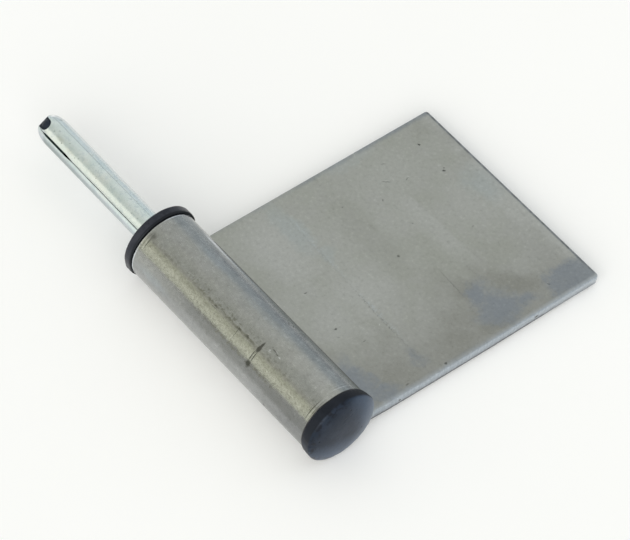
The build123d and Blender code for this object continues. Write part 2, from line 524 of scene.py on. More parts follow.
def lathe(name, node, profile, seg, shape, closed):
    verts, faces, rings = [], [], []
    for x, r in profile:
        count = seg if r > 1e-6 else 1
        ring = []
        for i in range(count):
            ring.append(len(verts))
            verts.append(shape(x, r, 2 * math.pi * i / seg))
        rings.append(ring)
    for a, b in zip(rings, rings[1:] + (rings[:1] if closed else [])):
        for i in range(seg):
            j = (i + 1) % seg
            q = [a[i % len(a)], a[j % len(a)], b[j % len(b)], b[i % len(b)]]
            q = [v for k, v in enumerate(q) if v not in q[:k]]
            if len(q) > 2:
                faces.append(q)
    me = bpy.data.meshes.new(name)
    me.from_pydata([(x / 1000, y / 1000, z / 1000) for x, y, z in verts], [], faces)
    sharpen(me, 40)
    ob = bpy.data.objects.new(name, me)
    scene.collection.objects.link(ob)
    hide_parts(node)
    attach(ob, ROOT)
    return ob


def angle_gap(a, deg):
    """Distance in degrees from the angle a, in radians, to deg."""
    return (math.degrees(a) - deg + 180.0) % 360.0 - 180.0


def cap_shape(x, r, a):
    on_rim = x > X1 - 0.01
    if X1 - 0.01 < x < X1 + 0.9 and r > 6.3:
        x += slant(math.degrees(a) if a < math.radians(270) else math.degrees(a) - 360) * (1 - (x - X1) / 0.9)
    if on_rim and r > 8:
        k = min(1.0, (r - 8) / 2.0)
        r += k * (0.030 * fbm(x * 0.9, 3 * math.cos(a), 3 * math.sin(a), 3) - 0.02)
        r -= k * 0.07 * math.exp(-(angle_gap(a, 205) / 16.0) ** 2) * min(1.0, max(0.0, (x - 71.6) / 1.6))
        for deg, dep, wd in ((262, 0.16, 3.0), (300, 0.14, 2.5), (118, 0.05, 3.0), (176, 0.10, 3.5), (341, 0.10, 3.0)):
            r -= k * dep * math.exp(-(angle_gap(a, deg) / wd) ** 2)
    if x > X1 + 2.7:
        x -= 0.012 * (1 + fbm(r * 0.35 * math.cos(a), r * 0.35 * math.sin(a), 4.4, 3))
    if on_rim:
        return (x, r * math.cos(a) + 0.05, r * math.sin(a) - 0.11)
    return moved(x, r * math.cos(a), r * math.sin(a), off_axis(x) if r < 5 else 0.0)


RIM_X, DOME_H, DOME_P, RIM_R = X1 + 2.65, 2.1, 2.4, 10.57
cap_line = []
for i in range(41):
    q = math.radians(90.0 * i / 40)
    cap_line.append((RIM_X + DOME_H * math.cos(q), RIM_R * math.sin(q) ** (2 / DOME_P) if i else 0.0))
cap_line += [(RIM_X - 0.25, RIM_R - 0.02), (RIM_X - 0.8, RIM_R - 0.05), (RIM_X - 1.5, RIM_R - 0.12), (X1 + 0.5, RIM_R - 0.22),
             (X1 + 0.16, RIM_R - 0.28), (X1 + 0.05, RIM_R - 0.33), (X1 + 0.005, RIM_R - 0.45), (X1 + 0.005, 9.2),
             (X1 + 0.005, 6.45), (X1 - 0.02, 6.45), (50.0, 6.45), (37.3, 6.45), (36.5, 5.95), (36.5, 3.80), (51.0, 3.80), (66.0, 3.80), (66.0, 0.0)]
cap = lathe("cap_turned", "end_cap", cap_line, 160, cap_shape, False)


def bush_shape(x, r, a):
    d = off_axis(x) if r < 5 else (0.20 if x < 2.75 else 0.0)
    if x < 2.75 and r > 9.4:
        k = min(1.0, (r - 9.4) / 0.6)
        r += k * (0.040 * fbm(x * 0.8, 2.2 * math.cos(a), 2.2 * math.sin(a), 3) - 0.02)
        for deg, dep, wd in ((150, 0.05, 4.0), (96, 0.06, 3.0), (206, -0.20, 7.0)):
            r -= k * dep * math.exp(-(angle_gap(a, deg) / wd) ** 2)
        x += k * 0.05 * fbm(1.7 * math.cos(a), 1.7 * math.sin(a), 8.8, 2) * (1 if x > 0.6 else 0)
    return moved(max(x, 0.0), r * math.cos(a), r * math.sin(a), d)


bush_line = [(0.55, 3.80), (0.0, 4.35), (0.0, 6.0), (0.0, 8.0), (0.0, 9.95)]
for i in range(1, 8):
    q = math.radians(90.0 * i / 8)
    bush_line.append((0.42 * (1 - math.cos(q)), 10.05 + 0.45 * math.sin(q)))
bush_line += [(0.42, 10.50), (0.9, 10.50), (1.5, 10.50), (2.1, 10.49), (2.44, 10.46), (2.53, 10.38), (2.56, 10.22), (2.56, 9.9),
              (2.56, 9.40), (2.795, 9.40), (2.795, 6.45), (18.0, 6.45), (35.2, 6.45), (36.0, 5.95), (36.0, 3.80), (18.0, 3.80)]
bush = lathe("bush_turned", "flanged_bush", bush_line, 160, bush_shape, True)


def leaned(name, node):
    """The node's own outline on the pin's middle line."""
    me = nodes_cad[node].data.copy()
    me.name = name
    for v in me.vertices:
        v.co = Vector(moved(v.co.x * 1000, v.co.y * 1000, v.co.z * 1000, off_axis(v.co.x * 1000))) / 1000
    sharpen(me, 30)
    ob = bpy.data.objects.new(name, me)
    scene.collection.objects.link(ob)
    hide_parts(node)
    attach(ob, ROOT)
    return ob


pin = leaned("pin_tube", "hinge_pin")
plug = leaned("nose_filler", "nose_plug")


# ---------------------------------------------------------------- materials
def steel():
    m, t, b, P = new_material("bare_steel")
    x, y, z = t.xyz(P)
    b.inputs["Metallic"].default_value = 1.0
    # turning angle of the knuckle, 0 at +Y, wrapped where the sheet covers it
    cb, sb = math.cos(math.radians(115)), math.sin(math.radians(115))
    yr = t.madd(y, cb, t.mul(z, sb))
    zr = t.madd(z, cb, t.mul(y, -sb))
    phi = t.madd(t.math("ARCTAN2", zr, yr), 180 / math.pi, 115.0)
    leaf = t.mul(t.ramp(y, 7.4, 7.9), t.ramp(z, -6.2, -6.35))
    leaf = t.max(leaf, t.mul(t.ramp(y, 0.0, 0.8), t.ramp(z, -9.6, -9.8)))

    # irregular outlines for the larger patches
    wn = t.noise(P, 0.16, 4, 0.62, color=True)
    wn2 = t.noise(P, 0.9, 3, 0.6, color=True)
    warp = t.vmath("ADD", t.vmath("SCALE", t.vmath("SUBTRACT", wn, (0.5, 0.5, 0.5)), scale=9.0),
                   t.vmath("SCALE", t.vmath("SUBTRACT", wn2, (0.5, 0.5, 0.5)), scale=1.6))
    L0 = t.vec(y, x)
    L = t.vmath("ADD", L0, warp)
    small = t.vmath("SCALE", t.vmath("SUBTRACT", wn2, (0.5, 0.5, 0.5)), scale=0.9)
    Ls = t.vmath("ADD", L0, small)
    K0 = t.vec(phi, x)
    kw = t.vmath("MULTIPLY", t.vmath("SUBTRACT", t.noise(P, 0.55, 4, 0.7, color=True), (0.5, 0.5, 0.5)), (9.0, 0.5, 0.0))
    K = t.vmath("ADD", K0, kw)
    kphi, kx, _ = t.xyz(K)

    cloud = t.noise(P, 0.055, 3, 0.55)
    cloud2 = t.noise(P, 0.22, 3, 0.6)
    grain = t.noise(P, 0.95, 4, 0.72)
    fine = t.noise(P, 4.0, 3, 0.7)

    # ---- leaf
    lc = t.mix(t.ramp(cloud, 0.32, 0.68), (0.405, 0.415, 0.378), (0.445, 0.454, 0.426))
    ld = t.mix(t.ramp(cloud, 0.32, 0.68), (0.335, 0.338, 0.312), (0.372, 0.376, 0.354))
    lc = t.mix(t.ramp(t.add(x, t.mul(t.sub(t.noise(P, 0.09, 3, 0.6), 0.5), 26.0)), 40, 70), lc, ld)
    lc = t.mix(t.ramp(cloud2, 0.4, 0.75, 0.0, 0.35), lc, (0.425, 0.425, 0.41))
    light = t.gather([
        lambda: t.mul(t.mul(t.ramp(y, 58.5, 64.0), t.ramp(t.madd(x, -0.02, y), 64.9, 66.0, 1.0, 0.0)),
              t.mul(t.ramp(x, 12, 26), t.ramp(x, 40, 54, 0.60, 0.0))),
        lambda: t.spot(L, 26, 18, 11, 20, 0, 0.2, 1.0, 0.90),
        lambda: t.spot(L, 36, 40, 12, 16, 0, 0.1, 1.0, 0.75),
        lambda: t.spot(L, 24, 44, 9, 12, 0, 0.1, 1.0, 0.45),
        lambda: t.spot(L, 68, 15, 12, 12, 0, 0.1, 1.0, 0.45),
        lambda: t.spot(L, 78, 34, 8, 12, 0, 0.1, 1.0, 0.30),
        lambda: t.spot(L, 85, 40, 5, 20, 0, 0.1, 1.0, 0.80),
        lambda: t.mul(t.ramp(y, 83.0, 87.2), 0.85),
        lambda: t.spot(L, 27, 51, 4.5, 7, 0, 0.1, 1.0, 0.45),
    ])
    lc = t.mix(light, lc, (0.482, 0.490, 0.470))
    dark = t.gather([
        lambda: t.mul(t.ramp(x, 56, 68, 0.0, 0.50), t.ramp(y, 80, 20, 0.6, 1.0)),
        lambda: t.spot(L, 48.5, 26, 6, 26, 0, 0.15, 1.0, 0.32),
        lambda: t.spot(L, 12, 46, 5, 18, 0, 0.15, 1.0, 0.30),
        lambda: t.spot(L, 54, 51, 7, 8, 0, 0.1, 1.0, 0.48),
        lambda: t.spot(L, 51, 62, 11, 8, 0, 0.1, 1.0, 0.62),
        lambda: t.spot(L, 46, 67, 8, 5, 0, 0.1, 1.0, 0.80),
        lambda: t.stroke(L, 61, 51.5, 76, 68, 5.0, lo=0.1, amount=0.92),
        lambda: t.spot(L, 72, 64, 6, 6, 0, 0.2, 1.0, 0.50),
        lambda: t.spot(L, 57, 55.5, 8, 8, 0, 0.1, 1.0, 1.0),
        lambda: t.spot(L, 57, 68, 15, 4.5, 0, 0.1, 1.0, 0.95),
        lambda: t.spot(L, 15, 50, 4, 6, 0, 0.1, 1.0, 0.55),
        lambda: t.spot(L, 85, 7, 9, 8, 0, 0.1, 1.0, 0.28),
        lambda: t.spot(L, 33.8, 63.6, 1.8, 5.2, 0, 0.1, 1.0, 0.6),
        lambda: t.spot(L, 25, 65, 8, 6, 0, 0.2, 1.0, 0.62),
        lambda: t.mul(t.ramp(y, 83.0, 87.5), t.ramp(t.noise(P, 0.13, 3, 0.6), 0.48, 0.62, 0.0, 0.45)),
    ])
    lc = t.mix(t.mul(dark, 0.62), lc, (0.262, 0.262, 0.232))
    rag = t.add(t.mul(t.sub(t.noise(P, 0.26, 3, 0.55), 0.5), 0.85), t.mul(t.sub(t.noise(P, 0.9, 3, 0.6), 0.5), 0.40))
    blue = t.gather([
        lambda: t.spot(L, 60.5, 64.0, 10.5, 8.6, 0, 0.15, 1.0, 1.0),
        lambda: t.spot(L, 59, 57.5, 6.2, 6.6, 0, 0.1, 1.0, 1.0),
        lambda: t.spot(L, 68, 66.5, 7.5, 4.0, 25, 0.0, 1.0, 0.85),
        lambda: t.spot(L, 83, 68, 12.5, 7.6, 0, 0.35, 1.0, 0.9),
        lambda: t.spot(L, 15.5, 62, 6.8, 12, 0, 0.25, 1.0, 0.95),
        lambda: t.spot(L, 18.5, 68.5, 8, 4.4, 0, 0.25, 1.0, 0.85),
        lambda: t.mul(t.ramp(y, 86.0, 87.9), 0.15),
        lambda: t.mul(t.ramp(x, 5.2, 3.2), t.ramp(y, 20, 75, 0.35, 0.70)),
        lambda: t.mul(t.ramp(x, 69.2, 70.6), 0.30),
        lambda: t.spot(L, 33.6, 63.5, 4.0, 7.0, 0, 0.1, 1.0, 0.55),
    ])
    blue = t.ramp(t.add(blue, t.mul(rag, t.ramp(blue, 0.0, 0.35))), 0.0, 1.0)
    lc = t.mix(t.mul(blue, 0.88), lc, (0.268, 0.294, 0.324))
    cyan = t.gather([
        lambda: t.spot(L, 33.5, 14, 4.5, 13, 0, 0.3, 1.0, 1.0),
        lambda: t.spot(L, 36, 26, 3.5, 4, 0, 0.3, 1.0, 0.8),
        lambda: t.spot(L, 84, 31, 6.5, 10, 0, 0.2, 1.0, 1.0),
        lambda: t.spot(L, 60, 5, 12, 3, 0, 0.3, 1.0, 0.5),
    ])
    lc = t.mix(t.mul(cyan, 0.60), lc, (0.432, 0.468, 0.468))
    # the cut rim: smooth shear band, darker torn band below it, thin dark border above; a painted highlight along the
    # rounded top of the cap-side rim, and a painted shadow at the rim's foot
    edge = t.max(t.max(t.ramp(t.madd(y, -0.0042, x), 70.60, 71.0), t.ramp(y, 87.95, 88.25)), t.ramp(x, 3.05, 2.84))
    drag = t.noise(t.vmath("MULTIPLY", P, (1.0, 1.0, 0.12)), 2.2, 3, 0.6)
    band_c = t.mix(t.ramp(drag, 0.35, 0.65), (0.395, 0.440, 0.485), (0.480, 0.525, 0.570))
    zz = t.add(z, t.mul(t.sub(t.noise(P, 0.35, 3, 0.6), 0.5), 0.7))
    # painted highlight: the rounded top of the cap-side rim made lighter
    lc = t.mix(t.ramp(t.madd(y, -0.0042, x), 69.8, 70.9, 0.0, 0.42), lc, (0.47, 0.505, 0.535))
    far = t.ramp(y, 40, 75)                                # the band is wider towards the far corner
    lc = t.mix(t.mul(edge, t.ramp(t.madd(far, -0.42, zz), -6.5, -7.5)), lc, band_c)
    torn_c = t.mix(t.ramp(t.noise(P, 1.4, 4, 0.7), 0.38, 0.62), (0.31, 0.335, 0.36), (0.44, 0.475, 0.51))
    lc = t.mix(t.mul(edge, t.ramp(t.madd(far, -0.20, zz), -8.2, -9.3)), lc, torn_c)
    # near-black foot of the rim: the burr, deepened as a painted shadow of the gap under the sheet
    lc = t.mix(t.mul(edge, t.ramp(t.madd(far, -0.20, z), -9.30, -9.62, 0.0, 0.92)), lc, (0.095, 0.10, 0.105))
    # painted highlight: the upper half of the cap-side rim lighter towards the far corner
    lc = t.mix(t.mul(t.mul(t.ramp(t.madd(y, -0.0042, x), 69.9, 70.7), t.ramp(y, 50, 86)), t.ramp(z, -8.6, -7.6, 0.0, 0.42)), lc, (0.52, 0.56, 0.59))
    lc = t.mix(t.mul(t.mul(t.ramp(y, 87.3, 87.85), t.ramp(y, 88.15, 88.28, 0.9, 0.0)), t.ramp(x, 70.4, 69.9)), lc,
               t.mix(t.ramp(t.noise(P, 0.5, 4, 0.7), 0.40, 0.60), (0.15, 0.16, 0.17), (0.27, 0.285, 0.30)))
    F = t.vec(y, z)
    chips = t.mul(t.max(t.spot(F, 67.35, -8.3, 0.70, 0.50, 10, 0.4, 1.0, 1.0), t.spot(F, 22.1, -8.65, 0.46, 0.42, 0, 0.4, 1.0, 0.95)),
                  t.ramp(x, 70.7, 70.9))
    lc = t.mix(chips, lc, (0.075, 0.062, 0.055))
    dots = t.ramp(t.noise(P, 1.7, 3, 0.7), 0.44, 0.58)
    lines = t.gather([
        lambda: t.mul(t.stroke(Ls, 35.2, 4, 34.0, 44, 0.50, lo=0.2, amount=0.40), dots),
        lambda: t.mul(t.stroke(Ls, 34.2, 30, 33.2, 68, 0.58, lo=0.2, amount=0.80), dots),
        lambda: t.mul(t.stroke(Ls, 56.0, 44, 55.3, 59.5, 0.26, lo=0.2, amount=0.8), t.ramp(dots, 0, 1, 0.4, 1.0)),
    ])
    specks = t.gather([
        lambda: t.spot(Ls, 78.9, 10.8, 0.42, 0.50, 0, 0.4, 1.0, 1.0),
        lambda: t.spot(Ls, 78.5, 21.4, 0.60, 0.40, 20, 0.3, 1.0, 1.0),
        lambda: t.spot(Ls, 79.1, 20.7, 0.25, 0.25, 0, 0.3, 1.0, 0.8),
        lambda: t.stroke(Ls, 62.6, 14.7, 64.8, 16.5, 0.17, lo=0.3, amount=0.8),
        lambda: t.spot(Ls, 68.8, 18.0, 0.75, 0.28, -20, 0.3, 1.0, 0.5),
        lambda: t.spot(Ls, 67.0, 10.4, 0.9, 0.3, 30, 0.2, 1.0, 0.35),
        lambda: t.spot(Ls, 59.1, 19.8, 0.45, 0.22, -45, 0.3, 1.0, 0.6),
        lambda: t.spot(Ls, 60.4, 30.4, 0.42, 0.25, 0, 0.3, 1.0, 0.55),
        lambda: t.spot(Ls, 50.4, 36.6, 0.62, 0.62, 0, 0.1, 1.0, 0.85),
        lambda: t.spot(Ls, 72.6, 40.3, 0.45, 0.32, 0, 0.2, 1.0, 0.5),
        lambda: t.spot(Ls, 23.2, 32.2, 0.55, 0.32, 0, 0.2, 1.0, 0.7),
        lambda: t.spot(Ls, 22.1, 45.6, 0.70, 0.38, 0, 0.3, 1.0, 0.9),
        lambda: t.spot(Ls, 25.6, 52.8, 0.80, 0.25, 0, 0.3, 1.0, 0.45),
        lambda: t.spot(Ls, 49.0, 15.6, 0.35, 0.2, 0, 0.3, 1.0, 0.4),
        lambda: t.spot(Ls, 25.6, 69.7, 0.7, 0.32, 0, 0.3, 1.0, 0.55),
        lambda: t.spot(Ls, 37.8, 70.3, 0.5, 0.5, 0, 0.3, 1.0, 0.95),
        lambda: t.spot(Ls, 21.0, 48.2, 0.6, 0.2, 30, 0.3, 1.0, 0.3),
        lambda: t.spot(Ls, 75.9, 66.2, 0.5, 0.3, 30, 0.3, 1.0, 0.5),
    ])
    lc = t.mix(t.mul(lines, 0.62), lc, (0.17, 0.175, 0.165))
    lc = t.mix(t.mul(specks, 0.85), lc, (0.085, 0.09, 0.08))
    glint = t.gather([
        lambda: t.spot(Ls, 69.6, 17.5, 0.6, 0.22, 40, 0.3, 1.0, 1.0),
        lambda: t.spot(Ls, 78.7, 19.3, 0.8, 0.5, 0, 0.2, 1.0, 0.5),
        lambda: t.spot(Ls, 78.0, 22.6, 0.8, 0.35, 0, 0.2, 1.0, 0.6),
        lambda: t.spot(Ls, 22.8, 44.6, 0.5, 0.25, 0, 0.3, 1.0, 0.7),
        lambda: t.spot(Ls, 32.0, 51.0, 0.4, 0.3, 0, 0.3, 1.0, 0.9),
        lambda: t.stroke(Ls, 62.9, 14.3, 65.0, 16.1, 0.12, lo=0.3, amount=0.5),
    ])
    lc = t.mix(t.mul(glint, 0.6), lc, (0.62, 0.63, 0.60))
    trail = t.mul(t.max(t.stroke(Ls, 36.1, 2, 34.6, 40, 1.25, lo=0.1, amount=0.85), t.stroke(Ls, 34.8, 34, 33.8, 62, 1.05, lo=0.1, amount=1.0)),
                  t.ramp(t.noise(P, 1.3, 4, 0.72), 0.46, 0.60))
    lc = t.mix(t.mul(trail, 0.60), lc, (0.50, 0.54, 0.555))

    # ---- knuckle
    kc = t.mix(t.ramp(cloud2, 0.35, 0.7), (0.392, 0.398, 0.372), (0.425, 0.430, 0.408))
    kc = t.mix(t.ramp(t.noise(P, 0.1, 2, 0.5), 0.4, 0.7, 0.0, 0.4), kc, (0.385, 0.395, 0.385))
    flk = t.noise(t.vmath("MULTIPLY", P, (0.8, 1.0, 1.0)), 2.0, 4, 0.75)
    straw = t.band(kphi, 125.5, 131.0, 146.0, 149.5)
    kc = t.mix(t.mul(straw, 0.95), kc, t.mix(t.ramp(flk, 0.40, 0.60), (0.345, 0.362, 0.312), (0.418, 0.438, 0.385)))
    # painted shade: darkens the upper part of the reflected highlight to narrow it
    kc = t.mix(t.band(kphi, 121.0, 126.0, 132.0, 139.0), kc, (0.82, 0.82, 0.80), "MULTIPLY")
    # painted shade on the knuckle's lower side, from below the highlight round to the underside, deeper towards the cap
    kc = t.mix(t.mul(t.band(kphi, 151.0, 156.0, 160.0, 170.0), t.ramp(kx, 40, 62)), kc, (0.88, 0.88, 0.88), "MULTIPLY")
    kc = t.mix(t.mul(t.band(kphi, 145.5, 151.0, 161.0, 176.0), t.ramp(kx, 6, 32, 0.32, 1.0)), kc, (0.60, 0.605, 0.615), "MULTIPLY")
    kc = t.mix(t.mul(t.band(kphi, 160, 168, 190, 205), t.ramp(kx, 50, 66)), kc, (0.81, 0.81, 0.82), "MULTIPLY")
    kc = t.mix(t.ramp(kphi, 160, 176), kc, (0.88, 0.885, 0.93), "MULTIPLY")
    kc = t.mix(t.mul(t.ramp(kphi, 174, 190), t.ramp(kx, 46, 58)), kc, (0.86, 0.86, 0.86), "MULTIPLY")
    # painted shade: a darker band at 40–62 degrees near the pin's end
    kc = t.mix(t.mul(t.band(kphi, 40, 44, 54, 62), t.ramp(kx, 20, 14)), kc, (0.70, 0.72, 0.76), "MULTIPLY")
    kc = t.mix(t.mul(t.band(kphi, 104, 110, 119, 124), 0.8), kc, (0.95, 0.955, 0.96), "MULTIPLY")
    kc = t.mix(t.mul(t.band(kphi, 74, 84, 98, 108), t.ramp(kx, 52, 36)), kc, (0.935, 0.94, 0.95), "MULTIPLY")
    kc = t.mix(t.mul(t.band(kphi, 80, 86, 100, 110), t.ramp(x, 52, 66)), kc, (1.06, 1.06, 1.06), "MULTIPLY")
    # painted shade: the same darker band from x 20 on
    kc = t.mix(t.mul(t.band(kphi, 50.5, 54.5, 62.0, 69.0), t.ramp(x, 12.0, 20.0)), kc, (0.80, 0.79, 0.80), "MULTIPLY")
    grit = t.noise(t.vmath("MULTIPLY", P, (1.0, 1.25, 1.25)), 1.05, 4, 0.72)
    # dark grit along both edges of the reflected highlight and flecks inside it: grit texture, deepened as painted
    # shade of the light's dark surround
    grit_and_shade_bands = t.gather([
        lambda: t.mul(t.band(kphi, 121.8, 123.2, 125.2, 127.2),
              t.mul(t.band(x, 18, 26, 45, 48), t.ramp(t.add(grit, t.mul(t.sub(flk, 0.5), 0.7)), 0.38, 0.58, 0.10, 1.0))),
        lambda: t.mul(t.band(kphi, 108.0, 119.0, 125.5, 128.5),
              t.mul(t.band(x, 8, 20, 42, 56), t.ramp(grit, 0.50, 0.62, 0.0, 0.85))),
        lambda: t.mul(t.band(kphi, 116.0, 121.5, 125.5, 128.5), t.ramp(grit, 0.48, 0.62, 0.0, 0.55)),
        lambda: t.mul(t.band(kphi, 126.0, 130.0, 146.0, 150.0), t.ramp(flk, 0.46, 0.34, 0.0, 0.62)),
        lambda: t.mul(t.band(kphi, 145.5, 148.0, 151.5, 154.5),
              t.mul(t.band(x, 20, 32, 52, 62), t.ramp(grit, 0.44, 0.58, 0.1, 0.80))),
    ])
    kc = t.mix(t.mul(grit_and_shade_bands, 0.72), kc, (0.175, 0.178, 0.135))
    # painted reflection: a darker, bluish band at 40–85 degrees
    kc = t.mix(t.band(kphi, 40, 46, 73, 85), kc, t.mix(t.ramp(cloud2, 0.4, 0.6), (0.76, 0.80, 0.85), (0.83, 0.865, 0.90)), "MULTIPLY")
    kc = t.mix(t.mul(t.gather([
        lambda: t.spot(K, 172, 11, 14, 8, 0, 0.2, 1.0, 0.7),
        lambda: t.spot(K, 78, 20, 10, 9, 0, 0.2, 1.0, 0.5),
        lambda: t.spot(K, 84, 42, 6, 14, 0, 0.2, 1.0, 0.4),
    ]), 0.5), kc, (0.36, 0.405, 0.43))
    marks = t.gather([
        lambda: t.spot(K0, 120.5, 47.75, 12.0, 0.50, 0, 0.5, 1.0, 1.0),
        lambda: t.spot(K0, 124.0, 47.75, 7.5, 0.80, 0, 0.5, 1.0, 1.0),
        lambda: t.spot(K0, 138.5, 47.30, 12.5, 0.27, 0, 0.4, 1.0, 0.85),
        lambda: t.spot(K0, 138.5, 48.02, 12.5, 0.27, 0, 0.4, 1.0, 0.85),
        lambda: t.spot(K, 151.5, 47.60, 6.8, 1.10, 0, 0.35, 1.0, 1.0),
        lambda: t.spot(K0, 157.0, 47.5, 5.0, 0.5, 0, 0.1, 1.0, 0.35),
        lambda: t.spot(K0, 133.0, 39.95, 14.0, 0.20, 0, 0.3, 1.0, 0.55),
        lambda: t.spot(K, 124.0, 40.1, 2.2, 0.8, 0, 0.3, 1.0, 0.8),
        lambda: t.spot(K, 123.5, 43.2, 2.0, 0.9, 0, 0.3, 1.0, 0.8),
        lambda: t.spot(K, 124.5, 31.0, 2.0, 1.0, 0, 0.3, 1.0, 0.7),
        lambda: t.stroke(K0, 106.0, 69.50, 156.0, 69.45, 0.24, lo=0.3, amount=0.85),
        lambda: t.stroke(K0, 116.0, 68.95, 150.0, 68.90, 0.12, lo=0.3, amount=0.55),
        lambda: t.stroke(K0, 122.0, 68.50, 148.0, 68.45, 0.10, lo=0.3, amount=0.35),
        lambda: t.stroke(K0, 100.0, 70.35, 160.0, 70.35, 0.20, lo=0.3, amount=0.55),
        lambda: t.stroke(K0, 108.0, 4.60, 150.0, 4.55, 0.26, lo=0.3, amount=0.70),
        lambda: t.stroke(K0, 112.0, 3.70, 160.0, 3.65, 0.16, lo=0.3, amount=0.50),
        lambda: t.spot(K, 120.0, 4.6, 9.0, 1.5, 0, 0.1, 1.0, 0.75),
        lambda: t.spot(K0, 141.5, 3.1, 2.2, 0.5, 0, 0.3, 1.0, 0.9),
        lambda: t.spot(K0, 110.2, 51.2, 0.95, 1.25, -38, 0.35, 1.0, 0.80),
        lambda: t.spot(K0, 111.9, 52.5, 0.80, 0.90, -30, 0.3, 1.0, 0.80),
        lambda: t.spot(K0, 108.6, 50.1, 1.3, 0.35, 0, 0.3, 1.0, 0.45),
        lambda: t.spot(K, 117.5, 51.3, 2.6, 0.30, -20, 0.3, 1.0, 0.45),
        lambda: t.spot(K0, 114.0, 49.9, 3.0, 0.26, 0, 0.3, 1.0, 0.35),
        lambda: t.spot(K0, 193.8, 55.9, 3.6, 0.42, 0, 0.3, 1.0, 0.85),
        lambda: t.spot(K0, 58.0, 46.0, 4.0, 0.28, 12, 0.3, 1.0, 0.75),
        lambda: t.spot(K0, 53.5, 47.2, 3.5, 0.30, 8, 0.3, 1.0, 0.7),
        lambda: t.spot(K0, 152.0, 56.4, 3.0, 0.35, 0, 0.3, 1.0, 0.35),
        lambda: t.spot(K0, 128.0, 30.8, 1.2, 1.6, 0, 0.3, 1.0, 0.45),
        lambda: t.spot(K0, 135.0, 31.9, 2.0, 0.5, 0, 0.3, 1.0, 0.35),
    ])
    kc = t.mix(t.mul(marks, 0.88), kc, (0.065, 0.067, 0.055))
    shine = t.gather([
        lambda: t.spot(K0, 112.4, 53.4, 0.95, 0.65, 0, 0.5, 1.0, 1.0),
        lambda: t.spot(K0, 109.3, 51.9, 0.50, 1.10, -38, 0.3, 1.0, 0.75),
        lambda: t.spot(K0, 114.2, 50.1, 2.2, 0.42, 0, 0.4, 1.0, 0.8),
        lambda: t.spot(K0, 116.5, 50.3, 2.4, 0.26, -30, 0.3, 1.0, 0.7),
        lambda: t.stroke(K0, 98.0, 69.95, 150.0, 69.95, 0.14, lo=0.3, amount=0.55),
        lambda: t.stroke(K0, 55.0, 69.7, 100.0, 69.3, 0.22, lo=0.3, amount=0.55),
        lambda: t.stroke(K0, 60.0, 68.9, 96.0, 68.6, 0.14, lo=0.3, amount=0.35),
        lambda: t.stroke(K0, 110.0, 4.10, 150.0, 4.10, 0.14, lo=0.3, amount=0.45),
        lambda: t.spot(K0, 56.5, 47.8, 3.0, 0.25, 10, 0.3, 1.0, 0.7),
        lambda: t.spot(K0, 84.5, 15.6, 3.5, 0.9, 30, 0.2, 1.0, 0.30),
        lambda: t.mul(t.ramp(x, 3.40, 3.10), t.max(t.ramp(phi, 100, 160, 0.30, 1.0), t.ramp(phi, 96, 80, 0.0, 0.8))),
    ])
    kc = t.mix(t.mul(shine, 0.6), kc, (0.70, 0.72, 0.73))
    # painted highlight: a light line along the knuckle's end next to the flange
    kc = t.mix(t.mul(t.ramp(x, 3.30, 3.12), t.max(t.ramp(phi, 140, 165), t.ramp(phi, 96, 84, 0.0, 0.7))), kc, (0.72, 0.76, 0.80))
    # the side next to the leaf: a dark line of painted shade, and above it a light line of painted highlight near the
    # pin's end
    kc = t.mix(t.mul(t.band(phi, 41.5, 45.0, 49.0, 52.0), t.band(x, 9, 14, 26, 40)), kc, (0.47, 0.495, 0.525))
    kc = t.mix(t.mul(t.band(phi, 25.0, 31.0, 39.5, 43.5), t.ramp(x, 10.5, 15.0)), kc, (0.30, 0.305, 0.32), "MULTIPLY")
    # painted shadow: the knuckle's end darkened where it meets the cap
    kc = t.mix(t.mul(t.ramp(t.sub(x, t.ramp(phi, 126.0, 102.0, 0.0, 0.28)), 70.55, 70.72), t.ramp(phi, 40, 60, 0.4, 1.0)), kc,
               (0.06, 0.06, 0.065))

    col = t.mix(leaf, kc, lc)
    # fine mottling everywhere
    mott = t.add(t.mul(t.sub(grain, 0.5), t.ramp(leaf, 0.0, 1.0, 1.0, 0.75)), t.mul(t.sub(fine, 0.5), 0.30))
    col = t.mix(t.ramp(mott, 0.0, 0.30, 0.0, 0.85), col, (1.34, 1.34, 1.34), "MULTIPLY")
    col = t.mix(t.ramp(mott, 0.0, -0.30, 0.0, 0.85), col, (0.68, 0.68, 0.67), "MULTIPLY")
    t.link(col, b.inputs["Base Color"])
    rough = t.add(t.ramp(grain, 0.3, 0.7, 0.235, 0.285, smooth=False), t.mul(leaf, 0.07))
    rough = t.add(rough, t.mul(t.max(t.mul(specks, leaf), t.mul(marks, t.inv(leaf))), 0.25))
    t.link(rough, b.inputs["Roughness"])
    n1 = t.bump(t.add(t.mul(t.noise(P, 0.85, 5, 0.68), 1.0), t.mul(fine, 0.22)), 0.000030, 1.0)
    pits = t.sub(0.0, t.add(t.mul(t.mul(specks, leaf), 1.0), t.mul(t.mul(marks, t.inv(leaf)), 0.8)))
    t.link(t.bump(pits, 0.00004, 1.0, n1), b.inputs["Normal"])
    return m


